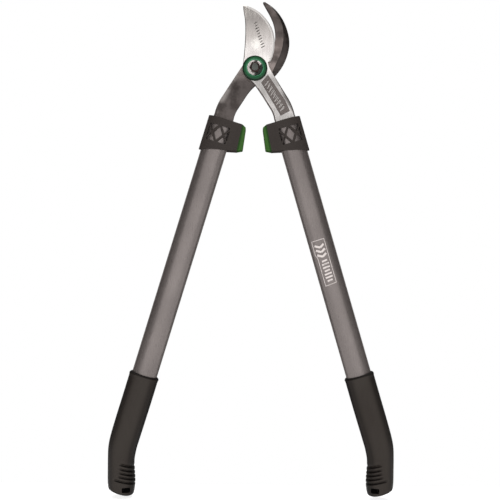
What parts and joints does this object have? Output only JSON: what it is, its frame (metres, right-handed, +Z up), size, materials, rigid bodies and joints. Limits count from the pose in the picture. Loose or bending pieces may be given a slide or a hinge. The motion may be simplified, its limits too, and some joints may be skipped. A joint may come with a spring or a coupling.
{
  "type": "bypass loppers",
  "caption": "Long-handled bypass loppers: a curved blade lever and a hooked lever turn on a bolted pivot, on oval tube handles with rubber stops and bent rubber grips.",
  "frame": {"origin": "centre of the pivot, on the shear plane between the two levers", "axes": "+Z up towards the jaws, +Y along the pivot towards the bolt's head at the back, +X towards the handle of the blade lever"},
  "size_m": [0.3972, 0.0288, 0.6827],
  "materials": {
    "polished_steel": "polished and ground",
    "blackened_steel": "gunmetal coating",
    "bronze": "turned",
    "insert_nylon": "moulded",
    "zinc_steel": "zinc plated",
    "green_trim": "gloss moulded",
    "dark_nut_steel": "dark zinc",
    "tube_metal": "satin metallic grey",
    "collar_plastic": "fine grain moulded",
    "green_rubber": "matt",
    "grip_rubber": "matt"
  },
  "bodies": {
    "hook_side": {"hook_lever": "blackened_steel", "pivot_bush": "bronze", "friction_washer": "insert_nylon", "back_washer": "zinc_steel", "trim_ring": "green_trim", "dished_washer": "zinc_steel", "pivot_nut": "dark_nut_steel", "pivot_bolt": "zinc_steel", "left_handle_tube": "tube_metal", "left_tang_insert": "insert_nylon", "left_tang_pins": "zinc_steel", "left_tube_end_plug": "insert_nylon", "left_collar": "collar_plastic", "left_bumper": "green_rubber", "left_grip": "grip_rubber"},
    "blade_side": {"blade_lever": "polished_steel", "right_handle_tube": "tube_metal", "right_tang_insert": "insert_nylon", "right_tang_pins": "zinc_steel", "right_tube_end_plug": "insert_nylon", "right_collar": "collar_plastic", "right_bumper": "green_rubber", "right_grip": "grip_rubber"}
  },
  "joints": [
    {"name": "pivot", "type": "hinge", "parent": "hook_side", "child": "blade_side", "pos_m": [0, 0, 0], "axis": [0, -1, 0], "range_deg": [-15.8, 55]}
  ]
}
